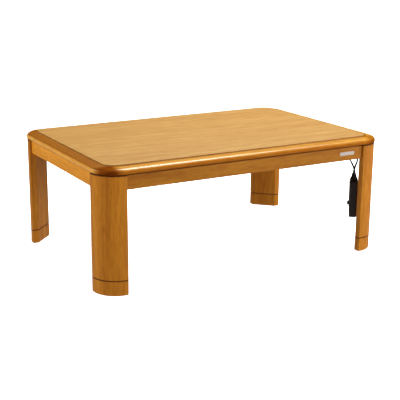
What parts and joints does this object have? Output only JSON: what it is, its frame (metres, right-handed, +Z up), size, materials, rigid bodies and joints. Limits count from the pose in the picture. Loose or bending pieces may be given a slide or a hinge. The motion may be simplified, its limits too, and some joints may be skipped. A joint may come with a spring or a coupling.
{
  "type": "kotatsu table",
  "caption": "Low heated table: veneered top with a moulded rim, rounded corner legs with pull-off extension feet, caged heater underneath and a hand controller hanging on its cords.",
  "frame": {"origin": "on the floor, under the middle of the table top", "axes": "+Z up; +X along the long side of the top, towards the end where the hand controller hangs; +Y towards the back long side"},
  "size_m": [1.05, 0.7, 0.4],
  "materials": {
    "top_veneer": "satin lacquered veneer",
    "rim_wood": "satin lacquer",
    "frame_wood": "satin lacquer",
    "leg_wood": "satin lacquer",
    "peg_wood": "bare",
    "rail_wood": "bare",
    "pad_rubber": "matte",
    "plated_steel": "zinc plated",
    "galvanised_sheet": "galvanised",
    "bright_aluminium": "bright",
    "quartz_glass": "clear red",
    "white_ceramic": "matte",
    "guard_paint": "matte heat-proof paint",
    "black_plastic": "matte",
    "clip_plastic": "matte",
    "controller_plastic": "fine grain",
    "knob_plastic": "satin",
    "lamp_lens": "clear red",
    "cord_rubber": "matte",
    "pin_brass": "bright"
  },
  "bodies": {
    "frame": {"front_apron": "frame_wood", "back_apron": "frame_wood", "left_apron": "frame_wood", "right_apron": "frame_wood", "front_left_leg": "leg_wood", "front_right_leg": "leg_wood", "back_left_leg": "leg_wood", "back_right_leg": "leg_wood", "corner_brackets": "plated_steel", "leg_hanger_bolts": "plated_steel", "leg_bolt_washers": "plated_steel", "leg_bolt_nuts": "plated_steel", "bracket_screws": "plated_steel", "left_cross_rail": "rail_wood", "right_cross_rail": "rail_wood", "front_heater_trimmer": "rail_wood", "back_heater_trimmer": "rail_wood", "top_rest_pads": "pad_rubber", "heater_housing": "galvanised_sheet", "heater_reflector": "bright_aluminium", "heater_quartz_tubes": "quartz_glass", "heater_tube_holders": "white_ceramic", "heater_guard": "guard_paint", "heater_mounting_screws": "plated_steel", "heater_terminal_cover": "black_plastic", "heater_inlet_pins": "pin_brass", "heater_thermostat": "black_plastic", "heater_thermal_fuse": "white_ceramic", "lead_connector": "black_plastic", "cord_clips": "clip_plastic", "controller_front_cover": "controller_plastic", "controller_back_cover": "controller_plastic", "controller_lamp": "lamp_lens", "controller_bushings": "cord_rubber", "controller_screws": "plated_steel", "controller_slide_switch": "black_plastic", "heater_lead": "cord_rubber", "mains_lead": "cord_rubber", "mains_lead_coil": "cord_rubber", "coil_tie": "black_plastic", "plug_body": "black_plastic", "plug_blades": "pin_brass"},
    "table_top": {"top_panel": "top_veneer", "top_rim_front": "rim_wood", "top_rim_back": "rim_wood", "top_rim_left": "rim_wood", "top_rim_right": "rim_wood", "top_rim_corner_front_left": "rim_wood", "top_rim_corner_front_right": "rim_wood", "top_rim_corner_back_left": "rim_wood", "top_rim_corner_back_right": "rim_wood"},
    "front_left_extension": {"front_left_foot": "leg_wood", "front_left_foot_pegs": "peg_wood"},
    "front_right_extension": {"front_right_foot": "leg_wood", "front_right_foot_pegs": "peg_wood"},
    "back_left_extension": {"back_left_foot": "leg_wood", "back_left_foot_pegs": "peg_wood"},
    "back_right_extension": {"back_right_foot": "leg_wood", "back_right_foot_pegs": "peg_wood"},
    "knob": {"controller_knob": "knob_plastic"}
  },
  "joints": [
    {"name": "top_lift", "type": "slide", "parent": "frame", "child": "table_top", "axis": [0, 0, 1], "range_m": [0, 0.06]},
    {"name": "front_left_foot_pull", "type": "slide", "parent": "frame", "child": "front_left_extension", "axis": [0, 0, -1], "range_m": [0, 0.035]},
    {"name": "front_right_foot_pull", "type": "slide", "parent": "frame", "child": "front_right_extension", "axis": [0, 0, -1], "range_m": [0, 0.035]},
    {"name": "back_left_foot_pull", "type": "slide", "parent": "frame", "child": "back_left_extension", "axis": [0, 0, -1], "range_m": [0, 0.035]},
    {"name": "back_right_foot_pull", "type": "slide", "parent": "frame", "child": "back_right_extension", "axis": [0, 0, -1], "range_m": [0, 0.035]},
    {"name": "temperature_slide", "type": "slide", "parent": "frame", "child": "knob", "axis": [0, 0, 1], "range_m": [0, 0.027]}
  ]
}
